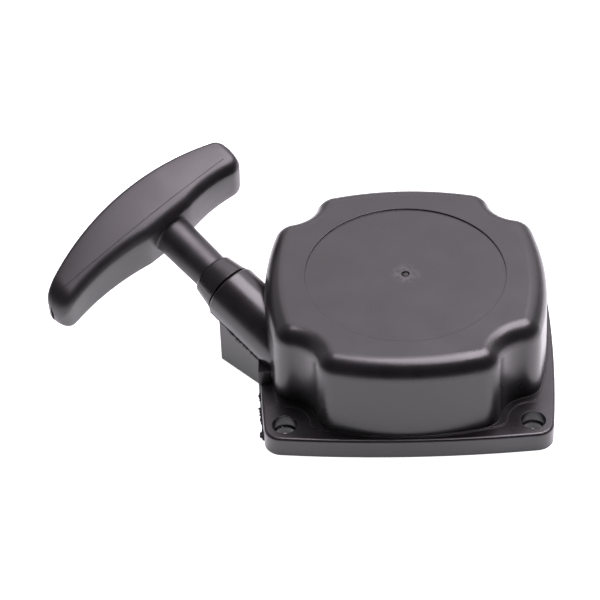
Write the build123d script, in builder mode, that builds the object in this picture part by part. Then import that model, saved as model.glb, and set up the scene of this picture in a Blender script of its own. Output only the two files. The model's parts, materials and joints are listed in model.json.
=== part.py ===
from build123d import *
from math import cos, radians, sin, sqrt, tan
import os

# Recoil (pull) starter for a small two-stroke engine, in millimetres.
# Z = 0 is the face that bolts to the engine, +Z points away from the engine and
# the reel turns about the Z axis. The rope leaves toward -X +Y, sloping upward.

os.makedirs("parts", exist_ok=True)

# ---------------------------------------------------------------- dimensions

overcut = 1.0  # how far a cut runs past the solid it opens

# housing
hole_half_spacing = 32.5
hole_top_r = 3.25
hole_r = 2.75
hole_step_z = 2.2
flange_half = 39.6
flange_side_r = 350.0
flange_t = 5.8
flange_corner_r = 4.8
flange_edge_r = 0.8
land_half = 38.2  # low step the body stands on
land_t = 0.25
land_scoop_r = 6.7
land_corner_r = 3.0
body_half = 37.8
body_side_r = 80.0
body_top_z = 29.4
body_draw = 0.37  # how much narrower the body is at its top
scoop_r = 8.5
lobe_corner_r = 6.3
body_edge_r = 5.0
lid_recess_r = 26.7
lid_recess_depth = 0.35
gate_pit_r = 1.1
gate_pit_depth = 0.5
cavity_r = 33.5
cavity_top_z = 27.0
cavity_edge_r = 3.0
spring_wall_in_r = 22.6
spring_wall_out_r = 24.8
spring_wall_z = 17.2
rib_t = 1.6
rib_angles = (60, 100, 180, 220, 300, 340)
rib_z = 21.0
post_r = 5.0
post_end_z = 4.9
post_collar_r = 8.2
post_collar_z = 26.0

# rope line: a straight line through the middle of the boss mouth
rope_r = 1.5
rope_offset = 28.7
rope_slope = 17.3
mouth_along = 38.2
mouth_z = 18.7
rope_bend_r = 6.0
rope_way_r = 2.6  # hole the rope passes through the housing wall in
rope_way_len = 13.0
rope_split = -20.0  # where the rope in the housing meets the rope that travels
rope_gap = 0.1  # between the rope in the housing and the rope on the reel

# boss, block under it and the guide in its mouth
boss_r = 7.9
boss_len = 25.5
boss_edge_r = 0.7
block_half_t = 7.0
block_along = (9.0, 35.4)  # inner and outer ends of the block, along the pull in plan
foot_step_x = -35.0
foot_step_y = -16.6
foot_step_z = 9.9
foot_step_len = 8.3
guide_shank_r = 4.5
guide_shank_len = 14.0
guide_back_r = 7.3
guide_front_r = 6.1
guide_gap = 0.5
guide_front = 7.0
guide_bore_r = 2.0
guide_edge_r = 0.8
guide_flare_r = 1.2

# reel
reel_r = 32.3
reel_bore_r = 5.05
reel_z = (8.4, 9.8, 13.4, 14.8)  # lower flange, groove and upper flange faces
drum_r = 14.5
reel_foot_r = 8.0
reel_foot_z = 5.0
reel_hub_r = 9.0
reel_hub_z = 25.8
window_r = 3.6
window_at = 23.5
window_count = 6
window_turn = 30.0
coil_pitch = 3.1
coil_half_turns = 8
coil_end_bend_r = 4.0
coil_end_run = 2.2
knot_r = 2.7
knot_pocket_r = 2.9
knot_pocket_depth = 1.0  # sunk into the lower flange
rope_channel_w = 3.6
rim_r = 0.5

# recoil spring and its cover
spring_t = 0.5
spring_z = (18.0, 25.5)
spring_in_r = 9.6
spring_pitch = 1.3
spring_half_turns = 19
spring_hook_bend_r = 0.8
spring_hook_run = 1.0
hook_slot_w = 1.6
hook_slot_depth = 2.8
hook_slot_gap = 0.4  # beyond the ribbon's edges
cover_z = 16.4
cover_r = 25.6
cover_hole_r = 9.8
cover_ear_angles = (20, 140, 260)
cover_ear_at = 28.0
cover_ear_r = 4.0
cover_boss_r = 3.1
cover_screw_r = 1.25
cover_screw_len = 5.6
cover_screw_hole = 6.2
cover_screw_gap = 0.15
cross_slot = (2.8, 0.7)
cover_head_r = 2.5
cover_head_t = 1.2

# pawls and the brake that swings them out
pivot_at = 11.5
pin_r = 2.0
pawl_bore_r = 2.06
pawl_z = (5.0, 8.2)
pawl_eye_r = 3.1
# corners of a pawl's arm at rest, from its pivot: back, tip and front
pawl_back = ((2.6, 0), (3.6, -6), (4.2, -12))
pawl_tip = ((3.7, -14), (1.1, -13.4))
pawl_front = ((-1.2, -7.5), (-2.6, 0))
stud_at = (1.2, -7.5)
stud_r = 1.4
stud_slack = 0.25
pawl_swing = 30.0
brake_swing = 40.0
plate_z = (3.6, 4.8)
plate_r = 20.5
plate_bore_r = 6.08
brake_hub_r = 6.0
brake_flange_r = 10.8
brake_flange_z = (2.2, 3.0)
brake_spring_t = 0.25
brake_spring_gap = (0.2, 0.4)  # to the hub inside and to the flange's rim outside
pin_gap = 0.1
centre_bolt_r = 2.5
bolt_head_r = 4.6
bolt_head_z = 0.5
bolt_head_edge_r = 0.5
bolt_end_z = 18.4
bolt_hole_z = 19.0
hex_socket_half = 2.0
hex_socket_depth = 1.1

# handle
grip_twist = -13.6  # turn of the handle about the rope line
stem_root_r = 5.2
stem_top_r = 5.5
# grip outline as (across the rope line, out from the boss mouth); each side is an arc
# through three points, from the end of the short arm to the end of the long one
grip_outer = 39.2
palm_arc = ((-28, 33), (2, grip_outer), (40, 31.5))
short_hollow = ((-28, 23.5), (-17, 25.5), (-6.5, 24))
long_hollow = ((8, 24), (25, 25.2), (40, 22))
grip_half_t = 8.8
grip_corner_r = 3.0
grip_edge_r = 3.0
handle_bore_r = 2.0
knot_seat = 29.0
knot_well_r = 4.25
washer_t = 1.0
handle_knot_r = 3.2
plug_front = 36.7
plug_back = 38.6
plug_edge_r = 0.5
washer_gap = 0.1

# ------------------------------------------------------ directions and planes

up = Vector(0, 0, 1)
pull_plan = Vector(-1, 1, 0).normalized()
rope_side = Vector(-1, -1, 0).normalized()
pull = pull_plan * cos(radians(rope_slope)) + up * sin(radians(rope_slope))
mouth = pull_plan * mouth_along + rope_side * rope_offset + up * mouth_z
rope_z = (reel_z[1] + reel_z[2]) / 2
rope_rise = tan(radians(rope_slope))
bend_along = mouth_along - (mouth_z - rope_z) / rope_rise

# Z runs out along the rope from the boss mouth
rope_plane = Plane(origin=mouth, x_dir=rope_side, z_dir=pull)
# upright plane holding the rope: X along the pull in plan, Y up
rope_wall = Plane(origin=rope_side * rope_offset, x_dir=pull_plan, z_dir=-rope_side)
# plane the grip is drawn in: X along the grip, Y out along the rope
grip_dir = rope_side.rotate(Axis(mouth, pull), grip_twist)
grip_plane = Plane(origin=mouth, x_dir=grip_dir, z_dir=grip_dir.cross(pull))


# ------------------------------------------------------------ shared outlines

def bowed_square(half, side_r):
    """Square outline with sides that are arcs; half is the half-width at mid-side."""
    arc_centre = half - side_r
    corner = (arc_centre + sqrt(2 * side_r**2 - arc_centre**2)) / 2
    with BuildSketch() as outline:
        with BuildLine():
            for quarter in range(4):
                turn = Rotation(0, 0, 90 * quarter)
                ends = [(corner, -corner), (half, 0), (corner, corner)]
                ThreePointArc(*[(turn * Pos(x, y, 0)).position for x, y in ends])
        make_face()
    return outline.sketch


def spiral(start, heading, first_r, step, half_turns):
    """Flat left-handed spiral made of half circles; returns its last point and heading."""
    point = start
    tangent = heading
    for half in range(half_turns):
        arc = JernArc(start=point, tangent=tangent, radius=first_r + step * half, arc_size=180)
        point = arc @ 1
        tangent = arc % 1
    return point, tangent


def rims(candidates, radius, centre):
    """The circular edges of one radius about one centre."""
    near = 0.01
    circles = candidates.filter_by(GeomType.CIRCLE)
    return circles.filter_by(
        lambda edge: abs(edge.radius - radius) < near and (edge.arc_center - centre).length < near
    )


def around(radius, angle):
    """Point at a radius and an angle in degrees about the reel axis."""
    return (radius * cos(radians(angle)), radius * sin(radians(angle)))


# --------------------------------------------------------------- housing

hole_centres = GridLocations(2 * hole_half_spacing, 2 * hole_half_spacing, 2, 2)
ear_centres = [around(cover_ear_at, angle) for angle in cover_ear_angles]

with BuildPart() as starter_housing:
    # bolting flange
    with BuildSketch():
        add(bowed_square(flange_half, flange_side_r))
        fillet(vertices(), flange_corner_r)
    extrude(amount=flange_t)
    fillet(edges().group_by(Axis.Z)[-1], flange_edge_r)

    # low land round the body's foot
    with BuildSketch(Plane.XY.offset(flange_t)):
        add(bowed_square(land_half, body_side_r))
        with hole_centres:
            Circle(land_scoop_r, mode=Mode.SUBTRACT)
        fillet(vertices(), land_corner_r)
    extrude(amount=land_t)

    # body: a bowed square with a scoop over every hole
    for level, inset in ((flange_t, 0), (body_top_z, body_draw)):
        with BuildSketch(Plane.XY.offset(level)):
            add(bowed_square(body_half - inset, body_side_r - inset))
            with hole_centres:
                Circle(scoop_r + inset, mode=Mode.SUBTRACT)
            fillet(vertices(), lobe_corner_r - inset)
    loft(ruled=True)
    fillet(edges().group_by(Axis.Z)[-1], body_edge_r)

    # round boss the rope leaves through
    with BuildSketch(rope_plane):
        Circle(boss_r)
    extrude(amount=-boss_len)
    fillet(rims(edges(), boss_r, mouth), boss_edge_r)

    # upright block that carries the boss down to the bolting face
    with BuildSketch(rope_wall):
        with BuildLine():
            Polyline(
                (block_along[0], 0),
                (block_along[1], 0),
                (block_along[1], mouth_z + (block_along[1] - mouth_along) * rope_rise),
                (block_along[0], mouth_z + (block_along[0] - mouth_along) * rope_rise),
                close=True,
            )
        make_face()
    extrude(amount=block_half_t, both=True)

    # small step on the flange edge beside the block
    with BuildSketch(Plane.XY.offset(flange_t / 2)):
        with Locations((foot_step_x, foot_step_y)):
            Rectangle(flange_half + foot_step_x, foot_step_len, align=(Align.MAX, Align.MIN))
    extrude(amount=foot_step_z - flange_t / 2)

    # hollow for the reel
    with BuildSketch():
        Circle(cavity_r)
    extrude(amount=cavity_top_z, mode=Mode.SUBTRACT)
    fillet(rims(edges(), cavity_r, up * cavity_top_z), cavity_edge_r)

    # wall round the recoil spring, with ribs from it to the outer wall
    with BuildSketch(Plane.XY.offset(spring_wall_z)):
        Circle(spring_wall_out_r)
        Circle(spring_wall_in_r, mode=Mode.SUBTRACT)
        with Locations(ear_centres):
            Circle(cover_boss_r)
    extrude(amount=cavity_top_z - spring_wall_z)
    with BuildSketch(Plane.XY.offset(rib_z)):
        for angle in rib_angles:
            with Locations(Rotation(0, 0, angle) * Pos(spring_wall_out_r, 0, 0)):
                Rectangle(cavity_r - spring_wall_out_r, rib_t, align=(Align.MIN, Align.CENTER))
    extrude(amount=cavity_top_z - rib_z)

    # post the reel turns on
    with BuildSketch(Plane.XY.offset(post_end_z)):
        Circle(post_r)
    extrude(amount=cavity_top_z - post_end_z)
    with BuildSketch(Plane.XY.offset(post_collar_z)):
        Circle(post_collar_r)
    extrude(amount=cavity_top_z - post_collar_z)

    # stepped bolt holes
    with BuildSketch():
        with hole_centres:
            Circle(hole_r)
    extrude(amount=flange_t + overcut, mode=Mode.SUBTRACT)
    with BuildSketch(Plane.XY.offset(hole_step_z)):
        with hole_centres:
            Circle(hole_top_r)
    extrude(amount=flange_t, mode=Mode.SUBTRACT)

    # shallow round recess and moulding gate mark in the top
    with BuildSketch(Plane.XY.offset(body_top_z - lid_recess_depth)):
        Circle(lid_recess_r)
    extrude(amount=lid_recess_depth, mode=Mode.SUBTRACT)
    with BuildSketch(Plane.XY.offset(body_top_z - lid_recess_depth - gate_pit_depth)):
        Circle(gate_pit_r)
    extrude(amount=gate_pit_depth, mode=Mode.SUBTRACT)

    # seat for the rope guide, and the rope's way on into the hollow
    with BuildSketch(rope_plane):
        Circle(guide_shank_r)
    extrude(amount=-guide_shank_len, mode=Mode.SUBTRACT)
    with BuildSketch(rope_plane.offset(-guide_shank_len)):
        Circle(rope_way_r)
    extrude(amount=-rope_way_len, mode=Mode.SUBTRACT)

    # bores for the centre bolt and the cover screws, notch for the spring's hook
    with BuildSketch(Plane.XY.offset(post_end_z)):
        Circle(centre_bolt_r)
    extrude(amount=bolt_hole_z - post_end_z, mode=Mode.SUBTRACT)
    with BuildSketch(Plane.XY.offset(spring_wall_z)):
        with Locations(ear_centres):
            Circle(cover_screw_r)
    extrude(amount=cover_screw_hole, mode=Mode.SUBTRACT)
    with BuildSketch(Plane.XY.offset(spring_wall_z)):
        with Locations((-spring_hook_bend_r, spring_wall_in_r)):
            Rectangle(hook_slot_w, hook_slot_depth)
    extrude(amount=spring_z[1] + hook_slot_gap - spring_wall_z, mode=Mode.SUBTRACT)

starter_housing.part.label = "starter_housing"
export_step(starter_housing.part, "parts/starter_housing.step")

# ------------------------------------------------------------ rope guide

with BuildPart() as rope_guide:
    with BuildSketch(rope_plane.offset(-guide_shank_len)):
        Circle(guide_shank_r)
    extrude(amount=guide_shank_len + guide_gap)
    with BuildSketch(rope_plane.offset(guide_gap)):
        Circle(guide_back_r)
    with BuildSketch(rope_plane.offset(guide_front)):
        Circle(guide_front_r)
    loft()
    fillet(rims(edges(), guide_front_r, mouth + pull * guide_front), guide_edge_r)
    with BuildSketch(rope_plane.offset(-guide_shank_len)):
        Circle(guide_bore_r)
    extrude(amount=guide_shank_len + guide_front, mode=Mode.SUBTRACT)
    fillet(rims(edges(), guide_bore_r, mouth - pull * guide_shank_len), guide_flare_r)

rope_guide.part.label = "rope_guide"
export_step(rope_guide.part, "parts/rope_guide.step")

# ------------------------------------------------------------------ rope

# where the rope leaves the reel, and the wound rope's way in from there
rope_leave = rope_side * rope_offset + up * rope_z
coil_first_r = rope_offset - coil_pitch / 4

with BuildLine() as coil_path:
    coil_inner, coil_heading = spiral(
        rope_leave, -pull_plan, coil_first_r, -coil_pitch / 2, coil_half_turns
    )
    JernArc(start=coil_inner, tangent=coil_heading, radius=coil_end_bend_r, arc_size=90)
    Line(coil_path.line @ 1, coil_path.line @ 1 - rope_side * coil_end_run)

knot_at = coil_path.line @ 1

with BuildPart() as rope_on_reel:
    with BuildSketch(Plane(origin=rope_leave, z_dir=-pull_plan)):
        Circle(rope_r)
    sweep(path=coil_path.line)
    with Locations(knot_at):
        Sphere(knot_r, mode=Mode.SUBTRACT)

rope_on_reel.part.label = "rope_on_reel"
export_step(rope_on_reel.part, "parts/rope_on_reel.step")

with BuildPart() as reel_knot:
    with Locations(knot_at):
        Sphere(knot_r)

reel_knot.part.label = "reel_knot"
export_step(reel_knot.part, "parts/reel_knot.step")

# off the reel, then up into line with the boss
split_along = mouth_along + rope_split * cos(radians(rope_slope))
split_z = mouth_z + rope_split * sin(radians(rope_slope))

with BuildLine(rope_wall) as exit_path:
    FilletPolyline(
        (rope_gap, rope_z), (bend_along, rope_z), (split_along, split_z), radius=rope_bend_r
    )

with BuildPart() as rope_exit:
    with BuildSketch(Plane(origin=exit_path.line @ 0, z_dir=pull_plan)):
        Circle(rope_r)
    sweep(path=exit_path.line)

rope_exit.part.label = "rope_exit"
export_step(rope_exit.part, "parts/rope_exit.step")

with BuildPart() as rope_to_handle:
    with BuildSketch(rope_plane.offset(rope_split)):
        Circle(rope_r)
    extrude(amount=knot_seat + washer_t - rope_split)

rope_to_handle.part.label = "rope_to_handle"
export_step(rope_to_handle.part, "parts/rope_to_handle.step")

# ------------------------------------------------------------------ reel

with BuildPart() as reel:
    with BuildSketch(Plane.XZ):
        with BuildLine():
            Polyline(
                (reel_bore_r, reel_foot_z),
                (reel_foot_r, reel_foot_z),
                (reel_foot_r, reel_z[0]),
                (reel_r, reel_z[0]),
                (reel_r, reel_z[1]),
                (drum_r, reel_z[1]),
                (drum_r, reel_z[2]),
                (reel_r, reel_z[2]),
                (reel_r, reel_z[3]),
                (reel_hub_r, reel_z[3]),
                (reel_hub_r, reel_hub_z),
                (reel_bore_r, reel_hub_z),
                close=True,
            )
        make_face()
    revolve(axis=Axis.Z)
    for rim_z in reel_z:
        fillet(rims(edges(), reel_r, up * rim_z), rim_r)
    # windows through the lower flange
    with BuildSketch(Plane.XY.offset(reel_z[0])):
        with PolarLocations(window_at, window_count, start_angle=window_turn):
            Circle(window_r)
    extrude(amount=reel_z[1] - reel_z[0], mode=Mode.SUBTRACT)
    # holes the pawl pins are pressed into
    with BuildSketch(Plane.XY.offset(reel_z[0])):
        with PolarLocations(pivot_at, 2):
            Circle(pin_r)
    extrude(amount=reel_z[2] - reel_z[0], mode=Mode.SUBTRACT)
    # pocket for the rope's knot and the channel out of it to the groove
    with BuildSketch(Plane.XY.offset(reel_z[1])):
        with Locations((knot_at.X, knot_at.Y)):
            Circle(knot_pocket_r)
        with BuildLine():
            channel_bend = JernArc(
                start=(coil_inner.X, coil_inner.Y),
                tangent=(coil_heading.X, coil_heading.Y),
                radius=coil_end_bend_r,
                arc_size=90,
            )
            Line(channel_bend @ 1, (knot_at.X, knot_at.Y))
        trace(line_width=rope_channel_w)
    extrude(amount=reel_z[2] - reel_z[1], mode=Mode.SUBTRACT)
    with BuildSketch(Plane.XY.offset(reel_z[1] - knot_pocket_depth)):
        with Locations((knot_at.X, knot_at.Y)):
            Circle(knot_pocket_r)
    extrude(amount=reel_z[3] - reel_z[1] + knot_pocket_depth, mode=Mode.SUBTRACT)
    # slot in the hub for the recoil spring's inner hook
    with BuildSketch(Plane.XY.offset(reel_hub_z)):
        with Locations((-spring_hook_bend_r, -reel_hub_r)):
            Rectangle(hook_slot_w, 2 * (hook_slot_depth - hook_slot_gap))
    extrude(amount=spring_z[0] - reel_hub_z - hook_slot_gap, mode=Mode.SUBTRACT)

reel.part.label = "reel"
export_step(reel.part, "parts/reel.step")

# ------------------------------------------------------ recoil spring, cover

# The ribbon starts in the hub's slot, winds outward and ends in the wall's notch.
with BuildPart() as recoil_spring:
    with BuildSketch(Plane.XY.offset(spring_z[0])):
        with BuildLine():
            inner_bend = Vector(-spring_hook_bend_r, spring_hook_bend_r - spring_in_r)
            Line(inner_bend + Vector(0, spring_hook_run), inner_bend)
            JernArc(start=inner_bend, tangent=(0, -1), radius=spring_hook_bend_r, arc_size=90)
            outer_bend, outer_heading = spiral(
                Vector(0, -spring_in_r),
                Vector(1, 0),
                spring_in_r + spring_pitch / 4,
                spring_pitch / 2,
                spring_half_turns,
            )
            outer_hook = JernArc(
                start=outer_bend, tangent=outer_heading, radius=spring_hook_bend_r, arc_size=-90
            )
            Line(outer_hook @ 1, (outer_hook @ 1) + Vector(0, spring_hook_run))
        trace(line_width=spring_t)
    extrude(amount=spring_z[1] - spring_z[0])

recoil_spring.part.label = "recoil_spring"
export_step(recoil_spring.part, "parts/recoil_spring.step")

with BuildPart() as spring_cover:
    with BuildSketch(Plane.XY.offset(cover_z)):
        Circle(cover_r)
        with Locations(ear_centres):
            Circle(cover_ear_r)
        with Locations(ear_centres):
            Circle(cover_screw_r + cover_screw_gap, mode=Mode.SUBTRACT)
        Circle(cover_hole_r, mode=Mode.SUBTRACT)
    extrude(amount=spring_wall_z - cover_z)

spring_cover.part.label = "spring_cover"
export_step(spring_cover.part, "parts/spring_cover.step")

with BuildPart() as cover_screws:
    with BuildSketch(Plane.XY.offset(cover_z - cover_head_t)):
        with Locations(ear_centres):
            Circle(cover_head_r)
    extrude(amount=cover_head_t)
    with BuildSketch(Plane.XY.offset(cover_z)):
        with Locations(ear_centres):
            Circle(cover_screw_r)
    extrude(amount=spring_wall_z - cover_z + cover_screw_len)
    with BuildSketch(Plane.XY.offset(cover_z - cover_head_t)):
        with Locations(ear_centres):
            Rectangle(*cross_slot)
            Rectangle(*reversed(cross_slot))
    extrude(amount=cross_slot[1], mode=Mode.SUBTRACT)

cover_screws.part.label = "cover_screws"
export_step(cover_screws.part, "parts/cover_screws.step")

# ------------------------------------------------- pawls and their pivot pins


def pawl_outline():
    """Pawl seen from above with its pivot at the origin, at rest."""
    with BuildSketch() as outline:
        with BuildLine():
            Polyline(*pawl_back, *pawl_tip, *pawl_front, close=True)
        make_face()
        Circle(pawl_eye_r)
    return outline.sketch


def swung_stud(share):
    """Stud centre seen from the brake plate, at a share of the pawl's full swing."""
    swing = radians(pawl_swing * share)
    x = pivot_at + stud_at[0] * cos(swing) - stud_at[1] * sin(swing)
    y = stud_at[0] * sin(swing) + stud_at[1] * cos(swing)
    plate = radians(-brake_swing * share)
    return (x * cos(plate) - y * sin(plate), x * sin(plate) + y * cos(plate))


def pawl(turn):
    """One pawl on its pivot, turned about the reel axis by an angle in degrees."""
    with BuildPart() as piece:
        with BuildSketch(Plane.XY.offset(pawl_z[0]).rotated((0, 0, turn))):
            with Locations((pivot_at, 0)):
                add(pawl_outline())
                Circle(pawl_bore_r, mode=Mode.SUBTRACT)
        extrude(amount=pawl_z[1] - pawl_z[0])
        with BuildSketch(Plane.XY.offset(plate_z[0]).rotated((0, 0, turn))):
            with Locations((pivot_at + stud_at[0], stud_at[1])):
                Circle(stud_r)
        extrude(amount=pawl_z[0] - plate_z[0])
    return piece


pawl_a = pawl(0)
pawl_a.part.label = "pawl_a"
export_step(pawl_a.part, "parts/pawl_a.step")

pawl_b = pawl(180)
pawl_b.part.label = "pawl_b"
export_step(pawl_b.part, "parts/pawl_b.step")

with BuildPart() as pawl_pins:
    with BuildSketch(Plane.XY.offset(plate_z[1] + pin_gap)):
        with PolarLocations(pivot_at, 2):
            Circle(pin_r)
    extrude(amount=reel_z[2] - plate_z[1] - pin_gap)

pawl_pins.part.label = "pawl_pins"
export_step(pawl_pins.part, "parts/pawl_pins.step")

# ------------------------------------- brake plate and what holds it in place

with BuildPart() as brake_plate:
    with BuildSketch(Plane.XY.offset(plate_z[0])):
        Circle(plate_r)
        Circle(plate_bore_r, mode=Mode.SUBTRACT)
    extrude(amount=plate_z[1] - plate_z[0])
    # curved slots that push the pawls' studs outward as the plate lags behind
    for slot_turn in (0, 180):
        with BuildSketch(Plane.XY.offset(plate_z[0]).rotated((0, 0, slot_turn))):
            with BuildLine():
                ThreePointArc(swung_stud(0), swung_stud(0.5), swung_stud(1))
            trace(line_width=2 * (stud_r + stud_slack))
            with Locations(swung_stud(0), swung_stud(1)):
                Circle(stud_r + stud_slack)
        extrude(amount=plate_z[1] - plate_z[0], mode=Mode.SUBTRACT)

brake_plate.part.label = "brake_plate"
export_step(brake_plate.part, "parts/brake_plate.step")

with BuildPart() as brake_hub:
    with BuildSketch(Plane.XY.offset(brake_flange_z[0])):
        Circle(brake_flange_r)
    extrude(amount=brake_flange_z[1] - brake_flange_z[0])
    with BuildSketch(Plane.XY.offset(brake_flange_z[1])):
        Circle(brake_hub_r)
    extrude(amount=post_end_z - brake_flange_z[1])
    with BuildSketch(Plane.XY.offset(brake_flange_z[0])):
        Circle(centre_bolt_r)
    extrude(amount=post_end_z - brake_flange_z[0], mode=Mode.SUBTRACT)

brake_hub.part.label = "brake_hub"
export_step(brake_hub.part, "parts/brake_hub.step")

# coned spring washer that presses the plate against the pawls
spring_edge_in = brake_hub_r + brake_spring_gap[0]
spring_edge_out = brake_flange_r - brake_spring_gap[1]

with BuildPart() as brake_spring:
    with BuildSketch(Plane.XZ):
        with BuildLine():
            Polyline(
                (spring_edge_in, plate_z[0] - brake_spring_t),
                (spring_edge_in, plate_z[0]),
                (spring_edge_out, brake_flange_z[1] + brake_spring_t),
                (spring_edge_out, brake_flange_z[1]),
                close=True,
            )
        make_face()
    revolve(axis=Axis.Z)

brake_spring.part.label = "brake_spring"
export_step(brake_spring.part, "parts/brake_spring.step")

with BuildPart() as centre_bolt:
    with BuildSketch(Plane.XY.offset(bolt_head_z)):
        Circle(bolt_head_r)
    extrude(amount=brake_flange_z[0] - bolt_head_z)
    fillet(rims(edges(), bolt_head_r, up * bolt_head_z), bolt_head_edge_r)
    with BuildSketch(Plane.XY.offset(bolt_head_z)):
        RegularPolygon(hex_socket_half, 6, major_radius=False)
    extrude(amount=hex_socket_depth, mode=Mode.SUBTRACT)
    with BuildSketch(Plane.XY.offset(brake_flange_z[0])):
        Circle(centre_bolt_r)
    extrude(amount=bolt_end_z - brake_flange_z[0])

centre_bolt.part.label = "centre_bolt"
export_step(centre_bolt.part, "parts/centre_bolt.step")

# ---------------------------------------------------------------- handle

# The grip is drawn flat: X along it, Y out along the rope. Its palm side is one
# arc, its finger side has a hollow for the fingers on each side of the stem.
with BuildPart() as pull_handle:
    with BuildSketch(grip_plane):
        with BuildLine():
            ThreePointArc(*palm_arc)
            Line(palm_arc[-1], long_hollow[-1])
            ThreePointArc(*long_hollow)
            Line(long_hollow[0], short_hollow[-1])
            ThreePointArc(*short_hollow)
            Line(short_hollow[0], palm_arc[0])
        make_face()
        fillet(vertices().group_by(Axis.X)[0] + vertices().group_by(Axis.X)[-1], grip_corner_r)
    extrude(amount=grip_half_t, both=True)
    fillet(edges().filter_by(Axis(mouth, grip_plane.z_dir), reverse=True), grip_edge_r)
    # stem
    with BuildSketch(rope_plane.offset(guide_front)):
        Circle(stem_root_r)
    with BuildSketch(rope_plane.offset(knot_seat)):
        Circle(stem_top_r)
    loft()
    # bore for the rope and the well its knot sits in
    with BuildSketch(rope_plane.offset(guide_front)):
        Circle(handle_bore_r)
    extrude(amount=grip_outer, mode=Mode.SUBTRACT)
    with BuildSketch(rope_plane.offset(knot_seat)):
        Circle(knot_well_r)
    extrude(amount=grip_outer - knot_seat + overcut, mode=Mode.SUBTRACT)

pull_handle.part.label = "pull_handle"
export_step(pull_handle.part, "parts/pull_handle.step")

with BuildPart() as knot_washer:
    with BuildSketch(rope_plane.offset(knot_seat)):
        Circle(knot_well_r - washer_gap)
        Circle(rope_r + washer_gap / 2, mode=Mode.SUBTRACT)
    extrude(amount=washer_t)

knot_washer.part.label = "knot_washer"
export_step(knot_washer.part, "parts/knot_washer.step")

with BuildPart() as handle_knot:
    with Locations(mouth + pull * (knot_seat + washer_t + handle_knot_r)):
        Sphere(handle_knot_r)

handle_knot.part.label = "handle_knot"
export_step(handle_knot.part, "parts/handle_knot.step")

with BuildPart() as handle_plug:
    with BuildSketch(rope_plane.offset(plug_front)):
        Circle(knot_well_r)
    extrude(amount=plug_back - plug_front)
    fillet(rims(edges(), knot_well_r, mouth + pull * plug_back), plug_edge_r)

handle_plug.part.label = "handle_plug"
export_step(handle_plug.part, "parts/handle_plug.step")
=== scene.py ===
import json
from math import cos, pi, radians, sin, sqrt

import bmesh
import bpy
from mathutils import Matrix, Vector, noise


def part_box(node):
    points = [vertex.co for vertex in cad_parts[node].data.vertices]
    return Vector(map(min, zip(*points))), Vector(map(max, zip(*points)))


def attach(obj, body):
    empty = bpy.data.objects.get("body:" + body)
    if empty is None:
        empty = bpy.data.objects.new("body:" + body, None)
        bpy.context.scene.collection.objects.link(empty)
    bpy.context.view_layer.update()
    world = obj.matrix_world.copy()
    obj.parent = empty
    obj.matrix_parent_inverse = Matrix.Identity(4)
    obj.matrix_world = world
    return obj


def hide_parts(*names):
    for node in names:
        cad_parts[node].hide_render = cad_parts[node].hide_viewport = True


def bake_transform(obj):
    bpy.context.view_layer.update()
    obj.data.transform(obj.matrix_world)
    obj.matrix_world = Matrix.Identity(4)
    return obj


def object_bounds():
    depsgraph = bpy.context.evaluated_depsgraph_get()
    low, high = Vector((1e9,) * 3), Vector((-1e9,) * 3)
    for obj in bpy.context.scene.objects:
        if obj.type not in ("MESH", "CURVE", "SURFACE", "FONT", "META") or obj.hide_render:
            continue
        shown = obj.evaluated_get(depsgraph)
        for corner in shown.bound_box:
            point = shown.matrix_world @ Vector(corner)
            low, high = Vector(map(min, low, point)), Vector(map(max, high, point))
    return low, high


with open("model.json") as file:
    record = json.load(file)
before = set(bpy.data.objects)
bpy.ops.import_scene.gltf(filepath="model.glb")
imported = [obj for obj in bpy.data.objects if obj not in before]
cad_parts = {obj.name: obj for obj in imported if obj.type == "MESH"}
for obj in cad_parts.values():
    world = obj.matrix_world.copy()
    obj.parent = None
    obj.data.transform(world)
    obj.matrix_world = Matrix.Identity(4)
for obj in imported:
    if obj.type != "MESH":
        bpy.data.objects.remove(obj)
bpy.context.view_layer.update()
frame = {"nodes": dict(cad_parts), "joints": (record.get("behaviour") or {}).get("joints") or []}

# Recoil starter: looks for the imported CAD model. Lengths are written in millimetres
# and turned into metres by MM. The handle, the travelling rope, the knots and the
# moulding marks are built here; every other node is shown as it was designed.

MM = 0.001
UP = Vector((0, 0, 1))
SHARP_ANGLE = 38  # degrees, edges steeper than this stay sharp


# ------------------------------------------------------------------ directions

def joint(name):
    """The record's entry for one joint."""
    return next(entry for entry in frame["joints"] if entry["name"] == name)


def middle(node):
    """Centre of a CAD node's box."""
    low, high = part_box(node)
    return (low + high) / 2


knot_along = 33.2  # handle knot's centre, from the boss mouth
grip_twist = -13.6  # degrees, turn of the grip about the rope

pull = Vector(joint("handle_pull")["axis"]).normalized()
pull_travel = joint("handle_pull")["range_m"][1] / MM
rope_side = UP.cross(pull).normalized()
mouth = middle("handle_knot") - pull * knot_along * MM
grip_dir = Matrix.Rotation(radians(grip_twist), 3, pull) @ rope_side
grip_thick = grip_dir.cross(pull)


def rope_point(along, side, drop):
    """Point by its distance out along the rope, to the side of it and below it."""
    return mouth + (pull * along + rope_side * side + rope_side.cross(pull) * drop) * MM


def grip_point(across, along, thick):
    """Point by its place along the grip, out along the rope and through the grip."""
    return mouth + (grip_dir * across + pull * along + grip_thick * thick) * MM


# ----------------------------------------------------------------- mesh making

def new_mesh(name, points, faces):
    """A mesh object with outward normals and smooth shading away from sharp edges."""
    mesh = bpy.data.meshes.new(name)
    mesh.from_pydata([tuple(point) for point in points], [], faces)
    build = bmesh.new()
    build.from_mesh(mesh)
    bmesh.ops.recalc_face_normals(build, faces=build.faces)
    build.to_mesh(mesh)
    build.free()
    thing = bpy.data.objects.new(name, mesh)
    bpy.context.scene.collection.objects.link(thing)
    soften(thing, SHARP_ANGLE)
    return thing


def soften(thing, sharp_angle):
    """Smooth shading, with edges steeper than the angle kept sharp."""
    for face in thing.data.polygons:
        face.use_smooth = True
    thing.data.set_sharp_from_angle(angle=radians(sharp_angle))


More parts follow.
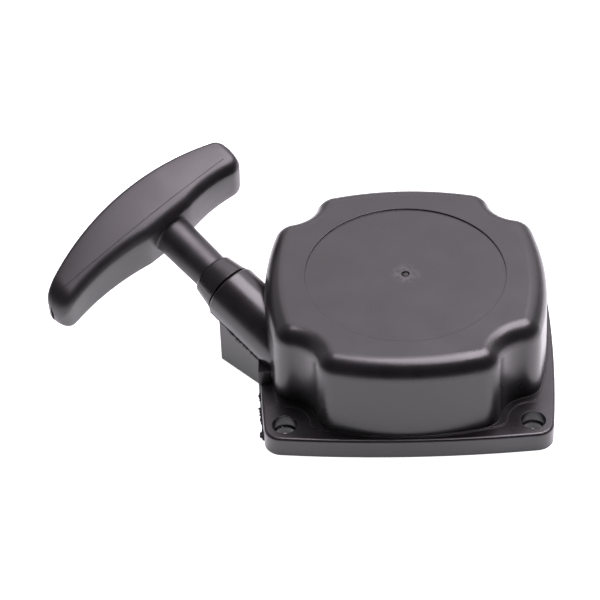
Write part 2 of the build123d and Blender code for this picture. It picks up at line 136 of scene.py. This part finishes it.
def skin(rings, closed_ends=True):
    """Points and faces of a tube through rings that all have the same number of points."""
    sides = len(rings[0])
    points = [point for ring in rings for point in ring]
    faces = []
    for row in range(len(rings) - 1):
        for side in range(sides):
            after = (side + 1) % sides
            start = row * sides
            faces.append((start + side, start + after, start + sides + after, start + sides + side))
    if closed_ends:
        faces.append(tuple(range(sides)))
        faces.append(tuple(range(len(points) - sides, len(points))))
    return points, faces


def turned(name, profile, sides=72):
    """A closed shape turned about the rope line from (along, radius) pairs."""
    rings = []
    for along, radius in profile:
        angles = [2 * pi * side / sides for side in range(sides)]
        rings.append([rope_point(along, radius * cos(a), radius * sin(a)) for a in angles])
    return new_mesh(name, *skin(rings))


def tube(name, path, radii, sides=12):
    """A tube along a list of points, with one radius in metres for each."""
    rings = []
    side_way = None
    for index, point in enumerate(path):
        ahead = path[min(index + 1, len(path) - 1)] - path[max(index - 1, 0)]
        ahead.normalize()
        if side_way is None:
            side_way = ahead.orthogonal()
        side_way = (side_way - ahead * side_way.dot(ahead)).normalized()
        other_way = ahead.cross(side_way)
        angles = [2 * pi * side / sides for side in range(sides)]
        rings.append(
            [point + (side_way * cos(a) + other_way * sin(a)) * radii[index] for a in angles]
        )
    return new_mesh(name, *skin(rings))


def carve(thing, tool, operation):
    """Joins a second solid to the first or cuts it away, and removes the second."""
    change = thing.modifiers.new("carve", "BOOLEAN")
    change.operation = operation
    change.solver = "EXACT"
    change.object = tool
    graph = bpy.context.evaluated_depsgraph_get()
    made = bpy.data.meshes.new_from_object(thing.evaluated_get(graph))
    thing.modifiers.clear()
    thing.data = made
    bpy.data.objects.remove(tool)
    soften(thing, SHARP_ANGLE)


def smooth_step(share):
    """Eases from 0 to 1."""
    share = min(max(share, 0.0), 1.0)
    return share * share * (3 - 2 * share)


def arc_height(points, x):
    """Height, at one x, of the flat circular arc through three (x, y) points."""
    (x0, y0), (x1, y1), (x2, y2) = points
    turn = 2 * (x0 * (y1 - y2) + x1 * (y2 - y0) + x2 * (y0 - y1))
    square0, square1, square2 = (px * px + py * py for px, py in points)
    centre_x = (square0 * (y1 - y2) + square1 * (y2 - y0) + square2 * (y0 - y1)) / turn
    centre_y = (square0 * (x2 - x1) + square1 * (x0 - x2) + square2 * (x1 - x0)) / turn
    radius = sqrt((x0 - centre_x) ** 2 + (y0 - centre_y) ** 2)
    height = sqrt(radius**2 - (x - centre_x) ** 2)
    return centre_y + height if y1 > centre_y else centre_y - height


# ------------------------------------------------------------------- materials

def start_material(name):
    """A new node material, its nodes and links, and its main shader."""
    material = bpy.data.materials.new(name)
    material.use_nodes = True
    tree = material.node_tree
    return material, tree.nodes, tree.links, tree.nodes["Principled BSDF"]


def add_node(nodes, kind, **settings):
    """A shader node with some of its settings or inputs filled in."""
    node = nodes.new(kind)
    for key, value in settings.items():
        if key in node.inputs:
            node.inputs[key].default_value = value
        else:
            setattr(node, key, value)
    return node


def noise_at(nodes, links, size_mm, detail=3.0, rough=0.55):
    """Noise whose blotches are about this many millimetres across, in the part's frame."""
    place = add_node(nodes, "ShaderNodeTexCoord")
    cloud = add_node(nodes, "ShaderNodeTexNoise", Detail=detail, Roughness=rough)
    cloud.inputs["Scale"].default_value = 1 / (size_mm * MM)
    links.new(place.outputs["Object"], cloud.inputs["Vector"])
    return cloud.outputs["Fac"]


def spread(nodes, links, source, low, high, to_low, to_high):
    """Maps a value from one range to another."""
    ranged = add_node(nodes, "ShaderNodeMapRange")
    ranged.inputs["From Min"].default_value = low
    ranged.inputs["From Max"].default_value = high
    ranged.inputs["To Min"].default_value = to_low
    ranged.inputs["To Max"].default_value = to_high
    links.new(source, ranged.inputs["Value"])
    return ranged.outputs["Result"]


def blend_colours(nodes, links, share, first, second):
    """Colour between two colours, by a share; a colour may be a socket or three numbers."""
    mix = add_node(nodes, "ShaderNodeMix", data_type="RGBA")
    links.new(share, mix.inputs["Factor"])
    colour_inputs = [socket for socket in mix.inputs if socket.type == "RGBA"]
    for target, colour in zip(colour_inputs, (first, second)):
        if isinstance(colour, tuple):
            target.default_value = (*colour, 1.0)
        else:
            links.new(colour, target)
    return [socket for socket in mix.outputs if socket.type == "RGBA"][0]


def worn_edges(nodes, links, radius_mm):
    """A value that is about 1 on sharp edges and 0 on flat faces, and the bevel node."""
    rounded = add_node(nodes, "ShaderNodeBevel", samples=4, Radius=radius_mm * MM)
    flat = add_node(nodes, "ShaderNodeNewGeometry")
    match = add_node(nodes, "ShaderNodeVectorMath", operation="DOT_PRODUCT")
    links.new(rounded.outputs["Normal"], match.inputs[0])
    links.new(flat.outputs["Normal"], match.inputs[1])
    match_on_flat = 0.995
    match_on_edge = 0.88
    worn = spread(nodes, links, match.outputs["Value"], match_on_flat, match_on_edge, 0.0, 1.0)
    return worn, rounded


def bumped(nodes, links, height, depth_mm, strength, below=None):
    """Bump node output; several can be stacked."""
    bump = add_node(nodes, "ShaderNodeBump", Strength=strength, Distance=depth_mm * MM)
    links.new(height, bump.inputs["Height"])
    if below is not None:
        links.new(below, bump.inputs["Normal"])
    return bump.outputs["Normal"]


def moulded_plastic(name, dark, pale, roughness, grain_mm, edge_mm=0.35):
    """Moulded plastic: fine grain, cloudy sheen, faint waves and paler rubbed edges."""
    material, nodes, links, shader = start_material(name)
    rubbed_gain = 2.2
    sheen_swing = 0.035
    clouds = noise_at(nodes, links, size_mm=9.0)
    grain = noise_at(nodes, links, grain_mm, detail=4.0, rough=0.7)
    specks = noise_at(nodes, links, size_mm=0.8, detail=2.0, rough=0.5)
    edges, rounded = worn_edges(nodes, links, edge_mm)
    tone = spread(nodes, links, clouds, low=0.35, high=0.7, to_low=0.0, to_high=0.55)
    base = blend_colours(nodes, links, tone, dark, pale)
    rubbed = tuple(value * rubbed_gain for value in pale)
    patchy = spread(nodes, links, specks, low=0.3, high=0.6, to_low=0.1, to_high=0.6)
    amount = add_node(nodes, "ShaderNodeMath", operation="MULTIPLY")
    links.new(edges, amount.inputs[0])
    links.new(patchy, amount.inputs[1])
    coloured = blend_colours(nodes, links, amount.outputs[0], base, rubbed)
    links.new(coloured, shader.inputs["Base Color"])
    sheen = spread(nodes, links, clouds, 0.3, 0.7, roughness - sheen_swing, roughness + sheen_swing)
    links.new(sheen, shader.inputs["Roughness"])
    bevel_normal = rounded.outputs["Normal"]
    fine = bumped(nodes, links, grain, depth_mm=0.02, strength=0.35, below=bevel_normal)
    swell = noise_at(nodes, links, size_mm=14.0, detail=1.0)
    waves = bumped(nodes, links, swell, depth_mm=0.05, strength=0.25, below=fine)
    links.new(waves, shader.inputs["Normal"])
    shader.inputs["IOR"].default_value = 1.52
    return material


def worked_metal(name, dark, bright, roughness, scratch_mm):
    """Metal with fine uneven marks, cloudy patches and bright rubbed edges."""
    material, nodes, links, shader = start_material(name)
    rubbed_gain = 1.35
    brightest = 0.95
    patches = noise_at(nodes, links, size_mm=5.0)
    scratches = noise_at(nodes, links, scratch_mm, detail=6.0, rough=0.75)
    edges, rounded = worn_edges(nodes, links, radius_mm=0.2)
    tone = spread(nodes, links, patches, low=0.3, high=0.7, to_low=0.0, to_high=0.8)
    base = blend_colours(nodes, links, tone, dark, bright)
    rubbed = tuple(min(value * rubbed_gain, brightest) for value in bright)
    links.new(blend_colours(nodes, links, edges, base, rubbed), shader.inputs["Base Color"])
    smoothest = roughness - 0.08
    roughest = roughness + 0.12
    sheen = spread(nodes, links, patches, 0.3, 0.7, to_low=smoothest, to_high=roughest)
    links.new(sheen, shader.inputs["Roughness"])
    bevel_normal = rounded.outputs["Normal"]
    marks = bumped(nodes, links, scratches, depth_mm=0.015, strength=0.3, below=bevel_normal)
    links.new(marks, shader.inputs["Normal"])
    shader.inputs["Metallic"].default_value = 1.0
    return material


def braided_cord(name, dark, pale):
    """Braided cord: small woven cells with painted shade in the hollows between them, and a fibrous
    roughness.
    """
    cell_mm = 1.1
    material, nodes, links, shader = start_material(name)
    place = add_node(nodes, "ShaderNodeTexCoord")
    weave = add_node(nodes, "ShaderNodeTexVoronoi", Scale=1 / (cell_mm * MM))
    links.new(place.outputs["Object"], weave.inputs["Vector"])
    fibres = noise_at(nodes, links, size_mm=0.25, detail=5.0, rough=0.8)
    distance = weave.outputs["Distance"]
    # Painted shade: each cell's colour is paler at its middle and darker toward its edges, where
    # the bump also sinks it.
    shade = spread(nodes, links, distance, low=0.0, high=0.7, to_low=1.0, to_high=0.0)
    links.new(blend_colours(nodes, links, shade, dark, pale), shader.inputs["Base Color"])
    sheen = spread(nodes, links, fibres, low=0.3, high=0.7, to_low=0.7, to_high=0.95)
    links.new(sheen, shader.inputs["Roughness"])
    cells = bumped(nodes, links, shade, depth_mm=0.2, strength=0.5)
    frayed = bumped(nodes, links, fibres, depth_mm=0.05, strength=0.5, below=cells)
    links.new(frayed, shader.inputs["Normal"])
    return material


housing_black = moulded_plastic(
    "housing_black",
    dark=(0.006, 0.0056, 0.006),
    pale=(0.012, 0.0112, 0.012),
    roughness=0.30,
    grain_mm=0.35,
)
handle_black = moulded_plastic(
    "handle_black",
    dark=(0.007, 0.0065, 0.007),
    pale=(0.016, 0.015, 0.016),
    roughness=0.43,
    grain_mm=0.45,
)
guide_black = moulded_plastic(
    "guide_black",
    dark=(0.006, 0.006, 0.006),
    pale=(0.010, 0.010, 0.010),
    roughness=0.26,
    grain_mm=0.5,
)
torn_plastic = moulded_plastic(
    "torn_plastic",
    dark=(0.004, 0.004, 0.004),
    pale=(0.012, 0.012, 0.012),
    roughness=0.55,
    grain_mm=0.3,
)
reel_nylon = moulded_plastic(
    "reel_nylon",
    dark=(0.55, 0.52, 0.45),
    pale=(0.68, 0.65, 0.58),
    roughness=0.42,
    grain_mm=0.4,
)
cord_black = braided_cord(
    "cord_black",
    dark=(0.008, 0.008, 0.009),
    pale=(0.05, 0.05, 0.055),
)
blue_steel = worked_metal(
    "blue_steel",
    dark=(0.16, 0.17, 0.20),
    bright=(0.34, 0.35, 0.38),
    roughness=0.32,
    scratch_mm=0.6,
)
pawl_steel = worked_metal(
    "pawl_steel",
    dark=(0.30, 0.28, 0.26),
    bright=(0.46, 0.44, 0.42),
    roughness=0.45,
    scratch_mm=0.3,
)
zinc_steel = worked_metal(
    "zinc_steel",
    dark=(0.50, 0.51, 0.53),
    bright=(0.68, 0.69, 0.72),
    roughness=0.28,
    scratch_mm=0.5,
)


def scuff_round_gate(material):
    """Pale rubbed patch round the moulding gate in the middle of the top."""
    nodes = material.node_tree.nodes
    links = material.node_tree.links
    shader = nodes["Principled BSDF"]
    place = add_node(nodes, "ShaderNodeTexCoord")
    away = add_node(nodes, "ShaderNodeVectorMath", operation="DISTANCE")
    away.inputs[1].default_value = (0.0, 0.0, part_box("starter_housing")[1].z)
    links.new(place.outputs["Object"], away.inputs[0])
    full_within = 1.0 * MM
    gone_beyond = 4.5 * MM
    scuff_colour = (0.075, 0.071, 0.075)
    near = spread(nodes, links, away.outputs["Value"], full_within, gone_beyond, 1.0, 0.0)
    blotches = noise_at(nodes, links, size_mm=1.6, detail=4.0, rough=0.7)
    rubs = spread(nodes, links, blotches, low=0.42, high=0.62, to_low=0.0, to_high=0.8)
    amount = add_node(nodes, "ShaderNodeMath", operation="MULTIPLY")
    links.new(near, amount.inputs[0])
    links.new(rubs, amount.inputs[1])
    base = shader.inputs["Base Color"].links[0].from_socket
    scuffed = blend_colours(nodes, links, amount.outputs[0], base, scuff_colour)
    links.new(scuffed, shader.inputs["Base Color"])


scuff_round_gate(housing_black)


def coat(thing, material):
    """Gives an object one material."""
    thing.data.materials.clear()
    thing.data.materials.append(material)


# -------------------------------------------------------------- CAD node looks

NODE_LOOKS = {
    "starter_housing": housing_black,
    "rope_guide": guide_black,
    "rope_exit": cord_black,
    "rope_on_reel": cord_black,
    "reel": reel_nylon,
    "recoil_spring": blue_steel,
    "spring_cover": reel_nylon,
    "cover_screws": zinc_steel,
    "pawl_a": pawl_steel,
    "pawl_b": pawl_steel,
    "pawl_pins": zinc_steel,
    "brake_plate": blue_steel,
    "brake_hub": zinc_steel,
    "brake_spring": blue_steel,
    "centre_bolt": zinc_steel,
    "knot_washer": zinc_steel,
    "handle_plug": handle_black,
}
for node_name, look in NODE_LOOKS.items():
    coat(frame["nodes"][node_name], look)


# ---------------------------------------------------------------------- handle

# grip outline as (across the rope, out along it); each side is an arc through three
# points, from the end of the short arm to the end of the long one
palm_arc = ((-26.8, 33.0), (2.0, 38.4), (40.2, 29.4))
short_hollow = ((-26.8, 22.4), (-17.0, 24.2), (-6.5, 23.4))
long_hollow = ((8.0, 23.4), (25.0, 24.4), (40.2, 21.6))
grip_ends = (palm_arc[0][0], palm_arc[-1][0])
grip_mid_half_t = 9.75  # half the grip's thickness at the stem and at each end
grip_long_half_t = 7.3
grip_short_half_t = 8.3
palm_edge_r = 1.1  # edges that run along the grip
finger_edge_r = 3.1
palm_corner_r = 2.6  # corners of the blunt ends, seen square to the broad face
finger_corner_r = 4.4
short_end_edge_r = 2.2  # rounding of the ends through the grip's thickness
long_end_edge_r = 6.2
broad_face_crown = 0.12
edge_r_limit = 0.9  # largest edge radius, as a share of the half thickness


def grip_half_thickness(across):
    """Half the grip's thickness, falling off toward both ends."""
    end_half_t = grip_long_half_t if across > 0 else grip_short_half_t
    end = grip_ends[1] if across > 0 else grip_ends[0]
    return grip_mid_half_t - (grip_mid_half_t - end_half_t) * (across / end) ** 2


def rounding(from_end, radius):
    """How far a rounded corner pulls an edge in, this far from the grip's end."""
    if from_end >= radius:
        return 0.0
    return radius - sqrt(radius**2 - (radius - from_end) ** 2)


def finger_side(across):
    """The grip's finger side: a hollow on each side of a straight piece at the stem."""
    if across < short_hollow[-1][0]:
        return arc_height(short_hollow, across)
    if across > long_hollow[0][0]:
        return arc_height(long_hollow, across)
    return short_hollow[-1][1]


def grip_section(across):
    """The grip's outline at one place along it, as (along, thick) pairs."""
    from_end = min(across - grip_ends[0], grip_ends[1] - across)
    low = finger_side(across) + rounding(from_end, finger_corner_r)
    high = arc_height(palm_arc, across) - rounding(from_end, palm_corner_r)
    end_edge_r = long_end_edge_r if across > 0 else short_end_edge_r
    half_t = grip_half_thickness(across) - rounding(from_end, end_edge_r)
    palm_r = min(palm_edge_r, edge_r_limit * half_t)
    finger_r = min(finger_edge_r, edge_r_limit * half_t)
    corners = (
        (high - palm_r, half_t - palm_r, palm_r, 0),
        (low + finger_r, half_t - finger_r, finger_r, 90),
        (low + finger_r, -half_t + finger_r, finger_r, 180),
        (high - palm_r, -half_t + palm_r, palm_r, 270),
    )
    outline = []
    corner_steps = 8
    face_steps = 6
    for corner, (along, thick, radius, first) in enumerate(corners):
        for step in range(corner_steps + 1):
            angle = radians(first + 90 * step / corner_steps)
            outline.append((along + radius * cos(angle), thick + radius * sin(angle)))
        along2, thick2, radius2, first2 = corners[(corner + 1) % 4]
        end = (along2 + radius2 * cos(radians(first2)), thick2 + radius2 * sin(radians(first2)))
        begin = outline[-1]
        for step in range(1, face_steps):
            share = step / face_steps
            bulge = broad_face_crown * 4 * share * (1 - share) if corner % 2 == 0 else 0.0
            along = begin[0] + (end[0] - begin[0]) * share
            thick = begin[1] + (end[1] - begin[1]) * share
            outline.append((along, thick + bulge * (1 if thick > 0 else -1)))
    return outline


def grip_stations():
    """Places along the grip, closer together at its rounded ends."""
    end_steps = 12
    middle_steps = 56
    longest = max(finger_corner_r, long_end_edge_r)
    rise = [longest * (1 - cos(pi / 2 * step / end_steps)) for step in range(end_steps)]
    first = grip_ends[0] + longest
    last = grip_ends[1] - longest
    spans = [first + (last - first) * step / middle_steps for step in range(middle_steps + 1)]
    return [grip_ends[0] + r for r in rise] + spans + [grip_ends[1] - r for r in reversed(rise)]


def make_handle():
    """T-handle: a bowed grip on a round stem, bored for the rope and its knot."""
    rings = []
    for across in grip_stations():
        rings.append([grip_point(across, along, thick) for along, thick in grip_section(across)])
    grip = new_mesh("handle", *skin(rings))
    stem_boss_end_r = 5.2
    stem_grip_end_r = 5.5
    collar_r = 5.9
    rope_bore_r = 2.0
    knot_bore_r = 4.25
    knot_seat = 29.0
    stem_profile = (
        (7.05, 4.8),
        (7.3, 5.1),
        (8.0, stem_boss_end_r),
        (22.6, stem_grip_end_r),
        (23.2, 5.6),
        (23.6, collar_r),
        (28.0, collar_r),
    )
    carve(grip, turned("stem", stem_profile), "UNION")
    bore_profile = (
        (6.5, rope_bore_r),
        (knot_seat, rope_bore_r),
        (knot_seat, knot_bore_r),
        (42.0, knot_bore_r),
    )
    carve(grip, turned("bore", bore_profile, sides=48), "DIFFERENCE")
    return grip


handle = make_handle()
coat(handle, handle_black)
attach(handle, "handle")
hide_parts("pull_handle")


def make_grip_seam():
    """Fine moulding line that runs along both broad faces of the grip."""
    seam_along = 27.6
    end_gap = 4
    sunk = 0.06
    seam_r = 0.12
    seam_r_wobble = 0.04
    lines = []
    for side in (1, -1):
        path = []
        radii = []
        steps = 90
        for step in range(steps + 1):
            length = grip_ends[1] - grip_ends[0] - 2 * end_gap
            across = grip_ends[0] + end_gap + length * step / steps
            outline = grip_section(across)
            near = [p for p in outline if p[1] * side > 0]
            nearest = min(near, key=lambda p: abs(p[0] - seam_along))
            beside = min(
                (p for p in near if (p[0] - seam_along) * (nearest[0] - seam_along) <= 0),
                key=lambda p: abs(p[0] - seam_along),
                default=nearest,
            )
            gap = beside[0] - nearest[0]
            share = (seam_along - nearest[0]) / gap if abs(gap) > 1e-6 else 0.0
            thick = nearest[1] + (beside[1] - nearest[1]) * share
            path.append(grip_point(across, seam_along, thick - side * sunk))
            wobble = noise.noise(Vector((across * 0.6, side * 3.0, 0.0)))
            radii.append((seam_r + seam_r_wobble * wobble) * MM)
        face = "low" if side > 0 else "top"
        lines.append(tube(f"grip_seam_{face}", path, radii, sides=6))
    return lines


for seam in make_grip_seam():
    coat(seam, handle_black)
    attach(seam, "handle")


# ------------------------------------------------------------------------ rope

rope_r = 1.5
rope_from = -20.0  # places along the rope, from the boss mouth
rope_to = 30.0
stretch_from = -19.0
stretch_to = 29.0


def pulled_place(along):
    """Where a rope point sits, from the boss mouth, with the handle pulled right out."""
    share = (along - stretch_from) / (stretch_to - stretch_from)
    return along + pull_travel * smooth_step(share)


def make_travelling_rope():
    """Rope between reel and handle; its plait is even when the handle is pulled right out."""
    plait_mm = 4.2
    strands = 4
    sides = 24
    ring_gap = 0.6
    strand_sink = 0.1
    strand_bulge = 0.13
    step_try = 0.001
    rings = []
    along = rope_from
    while along < rope_to:
        ring = []
        turn = 2 * pi * pulled_place(along) / plait_mm
        for side in range(sides):
            angle = 2 * pi * side / sides
            plait = cos(strands * angle + turn) * cos(strands * angle - turn)
            radius = rope_r - strand_sink + strand_bulge * plait
            ring.append(rope_point(along, radius * cos(angle), radius * sin(angle)))
        rings.append(ring)
        growth = (pulled_place(along + step_try) - pulled_place(along)) / step_try
        along += ring_gap / max(growth, 1.0)
    return new_mesh("rope_run", *skin(rings))


rope_run = make_travelling_rope()
coat(rope_run, cord_black)
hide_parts("rope_to_handle")
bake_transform(rope_run)


def make_knot(name, node, body):
    """Tight knot of cord that fills the CAD node's ball."""
    low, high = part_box(node)
    centre = (low + high) / 2
    ball_r = (high.x - low.x) / 2
    cord_share = 0.36
    knot_height = 1.9
    cord = ball_r * cord_share
    size = (ball_r - cord) / 3
    path = []
    steps = 120
    for step in range(steps):
        t = 2 * pi * step / steps
        flat_x = sin(t) + 2 * sin(2 * t)
        flat_y = cos(t) - 2 * cos(2 * t)
        height = -knot_height * sin(3 * t)
        away = rope_side * flat_x + rope_side.cross(pull) * flat_y + pull * height
        path.append(centre + away * size)
    knot = tube(name, path, [cord] * steps, sides=14)
    coat(knot, cord_black)
    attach(knot, body)
    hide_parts(node)


make_knot("handle_knot_tied", "handle_knot", "handle")
make_knot("reel_knot_tied", "reel_knot", "reel")


# ------------------------------------------------------------- moulding marks

def make_boss_flash():
    """Flash along both edges where the round boss meets the flat block, rougher inward."""
    boss_r = 7.9  # the boss and block as they are in the CAD
    block_half_t = 7.0
    near_length = 24.4
    far_length = 7.5
    start = -0.6
    smooth_length = 5.5
    roughening_length = 3.0
    ragged_by = 0.45
    thin_r = 0.18
    seam_drop = sqrt(boss_r**2 - block_half_t**2)
    for side, length in ((1, near_length), (-1, far_length)):
        path = []
        radii = []
        steps = 150
        for step in range(steps + 1):
            share = step / steps
            along = start - length * share
            place = Vector((along * 1.7, side * 5.0, 0.0))
            rough = smooth_step((length * share - smooth_length) / roughening_length)
            jump = noise.noise(place) * ragged_by * rough
            path.append(rope_point(along, side * (block_half_t + 0.02 * jump), seam_drop + jump))
            radius = thin_r + rough * (0.26 + 0.34 * noise.noise(place * 1.9))
            radii.append(radius * MM)
        end = "near" if side > 0 else "far"
        flash = tube(f"boss_flash_{end}", path, radii, sides=8)
        coat(flash, torn_plastic)
        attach(flash, "housing")


make_boss_flash()


def make_flange_flash():
    """Ragged flash left along the flange's left edge and round its near corner."""
    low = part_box("starter_housing")[0]
    half = -low.y / MM
    side_r = 350.0  # bow of the flange's side and its corner, as they are in the CAD
    corner_r = 4.8
    from_y = -14.0
    above_mount = 0.05
    inside_edge = 0.6
    corner = half - side_r + sqrt(side_r**2 - half**2) - corner_r
    straight = corner + from_y
    around = corner_r * pi / 2
    rings = []
    steps = 170
    for step in range(steps + 1):
        run = (straight + around) * step / steps
        if run < straight:
            y = from_y - run
            edge = Vector((side_r - half - sqrt(side_r**2 - y**2), y, 0))
            out = Vector((-1, 0, 0))
        else:
            angle = (run - straight) / corner_r
            out = Vector((-cos(angle), -sin(angle), 0))
            edge = Vector((-corner, -corner, 0)) + out * corner_r
        coarse = noise.noise(Vector((run * 0.33, 4.0, 0)))
        fine = noise.noise(Vector((run * 1.6, 9.0, 0)))
        rag = coarse + 0.5 * fine
        reach = 0.35 + 1.1 * max(rag + 0.12, 0.0)
        thick = 0.5 + 0.5 * max(rag, 0.0)
        inner = edge - out * inside_edge
        outer = edge + out * reach
        lift = Vector((0, 0, above_mount))
        top = Vector((0, 0, above_mount + thick))
        corners = (inner + lift, outer + lift, outer + top * 0.7, inner + top)
        rings.append([corner_point * MM for corner_point in corners])
    flash = new_mesh("flange_flash", *skin(rings))
    coat(flash, torn_plastic)
    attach(flash, "housing")


make_flange_flash()


def make_gate_stub():
    """Torn stub left by the moulding gate in the middle of the top."""
    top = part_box("starter_housing")[1].z
    pit_floor_depth = 0.85  # the round recess and the gate pit in it, together
    floor = top - pit_floor_depth * MM
    stub_profile = ((-0.2, 1.0), (0.1, 0.95), (0.35, 0.75), (0.5, 0.4), (0.42, 0.12))
    rings = []
    sides = 28
    for height, radius in stub_profile:
        ring = []
        for side in range(sides):
            angle = 2 * pi * side / sides
            place = Vector((cos(angle) * 1.4, sin(angle) * 1.4, height * 3))
            torn = 1 + 0.35 * noise.noise(place * 2.1)
            lift = height + 0.16 * noise.noise(place * 3.3 + Vector((7, 0, 0)))
            x = radius * torn * cos(angle) * MM
            y = radius * torn * sin(angle) * MM
            ring.append(Vector((x, y, floor + lift * MM)))
        rings.append(ring)
    stub = new_mesh("gate_stub", *skin(rings))
    coat(stub, torn_plastic)
    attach(stub, "housing")


make_gate_stub()


# ---------------------------------------------------------- floor, light, camera

def plain_to_camera(nodes, links, glow):
    """The glow that reflections see; looked at directly, it is an even 1."""
    path = add_node(nodes, "ShaderNodeLightPath")
    plain = add_node(nodes, "ShaderNodeMath", operation="MAXIMUM")
    links.new(glow, plain.inputs[0])
    links.new(path.outputs["Is Camera Ray"], plain.inputs[1])
    return plain.outputs[0]


def make_floor():
    """Pale floor with a painted pool of light round the part: its colour and its glow, like a lit
    table's, fade away from the middle; it is clear when seen from below.
    """
    half = 1.6  # metres, as are the distances below
    gap_below = 0.0002
    lit_within = 0.155
    glow_gone_by = 0.21
    dark_by = 0.32
    lit_centre = (0.0, 0.055, 0.0)
    floor_z = min(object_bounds()[0].z, 0.0) - gap_below
    cells = 8
    points = []
    faces = []
    for row in range(cells + 1):
        for column in range(cells + 1):
            x = half * (2 * column / cells - 1)
            y = half * (2 * row / cells - 1)
            points.append((x, y, floor_z))
    for row in range(cells):
        for column in range(cells):
            first = row * (cells + 1) + column
            faces.append((first, first + 1, first + cells + 2, first + cells + 1))
    floor = new_mesh("floor", points, faces)
    if floor.data.polygons[0].normal.z < 0:
        floor.data.flip_normals()
    material, nodes, links, shader = start_material("lit_table")
    place = add_node(nodes, "ShaderNodeTexCoord")
    from_middle = add_node(nodes, "ShaderNodeVectorMath", operation="DISTANCE")
    from_middle.inputs[1].default_value = lit_centre
    links.new(place.outputs["Object"], from_middle.inputs[0])
    away = from_middle.outputs["Value"]
    # Painted pool of light: the floor's colour is pale within the lit circle round the part and
    # painted darker beyond it.
    near = (0.85, 0.85, 0.87)
    far = (0.42, 0.42, 0.43)
    shade = spread(nodes, links, away, lit_within, dark_by, 0.0, 1.0)
    links.new(blend_colours(nodes, links, shade, near, far), shader.inputs["Base Color"])
    shader.inputs["Roughness"].default_value = 0.6
    shader.inputs["Emission Color"].default_value = (1, 1, 1.02, 1)
    # Painted pool of light as a glow: the floor gives off light within the lit circle and fades out
    # past it; camera rays see an even 1.
    glow = spread(nodes, links, away, lit_within, glow_gone_by, 1.0, 0.0)
    links.new(plain_to_camera(nodes, links, glow), shader.inputs["Emission Strength"])
    under = add_node(nodes, "ShaderNodeNewGeometry")
    clear = add_node(nodes, "ShaderNodeBsdfTransparent")
    side = add_node(nodes, "ShaderNodeMixShader")
    links.new(under.outputs["Backfacing"], side.inputs["Fac"])
    links.new(shader.outputs["BSDF"], side.inputs[1])
    links.new(clear.outputs["BSDF"], side.inputs[2])
    links.new(side.outputs["Shader"], nodes["Material Output"].inputs["Surface"])
    floor.data.materials.append(material)


make_floor()


def soft_box(name, place, aim, width, height, radiance, colour):
    """Rectangular light of an even brightness, turned toward a point."""
    light = bpy.data.lights.new(name, "AREA")
    light.shape = "RECTANGLE"
    light.size = width
    light.size_y = height
    light.energy = radiance * pi * width * height
    light.color = colour
    lamp = bpy.data.objects.new(name, light)
    lamp.location = place
    lamp.rotation_mode = "QUATERNION"
    lamp.rotation_quaternion = (Vector(aim) - Vector(place)).to_track_quat("-Z", "Y")
    bpy.context.scene.collection.objects.link(lamp)


warm_violet = (1.06, 0.95, 1.05)
part_centre = (0, 0, 0)
soft_box(
    "overhead_box",
    place=(0.17, 0.17, 0.80),
    aim=part_centre,
    width=0.54,
    height=0.62,
    radiance=9.9,
    colour=warm_violet,
)
soft_box(
    "back_panel",
    place=(0.25, 1.25, 1.05),
    aim=part_centre,
    width=1.9,
    height=1.1,
    radiance=1.15,
    colour=warm_violet,
)


def make_room():
    """Dim room: dark behind the camera, lighter behind the part."""
    room = bpy.data.worlds.new("studio")
    room.use_nodes = True
    nodes = room.node_tree.nodes
    links = room.node_tree.links
    place = add_node(nodes, "ShaderNodeTexCoord")
    parts = add_node(nodes, "ShaderNodeSeparateXYZ")
    links.new(place.outputs["Generated"], parts.inputs["Vector"])
    behind_camera = 0.05
    behind_part = 0.75
    glow = spread(nodes, links, parts.outputs["Y"], -0.3, 0.8, behind_camera, behind_part)
    links.new(plain_to_camera(nodes, links, glow), nodes["Background"].inputs["Strength"])
    nodes["Background"].inputs["Color"].default_value = (1, 0.95, 1, 1)
    bpy.context.scene.world = room


make_room()
bpy.context.scene.view_settings.view_transform = "Standard"


def make_camera():
    """Long lens looking down on the front of the part, slightly rolled."""
    turn = radians(2.086)
    down = radians(41.55)
    roll = radians(-2.561)
    place = Vector((-0.0093, -0.5200, 0.4817))
    ahead = Vector((-sin(turn) * cos(down), cos(turn) * cos(down), -sin(down)))
    right = ahead.cross(UP).normalized()
    over = right.cross(ahead)
    rolled_right = right * cos(roll) + over * sin(roll)
    rolled_over = over * cos(roll) - right * sin(roll)
    lens = bpy.data.cameras.new("camera")
    lens.lens = 155.9  # millimetres, as is the sensor
    lens.sensor_width = 36.0
    camera = bpy.data.objects.new("camera", lens)
    axes = Matrix((rolled_right, rolled_over, -ahead)).transposed()
    camera.matrix_world = Matrix.Translation(place) @ axes.to_4x4()
    bpy.context.scene.collection.objects.link(camera)
    bpy.context.scene.camera = camera


make_camera()
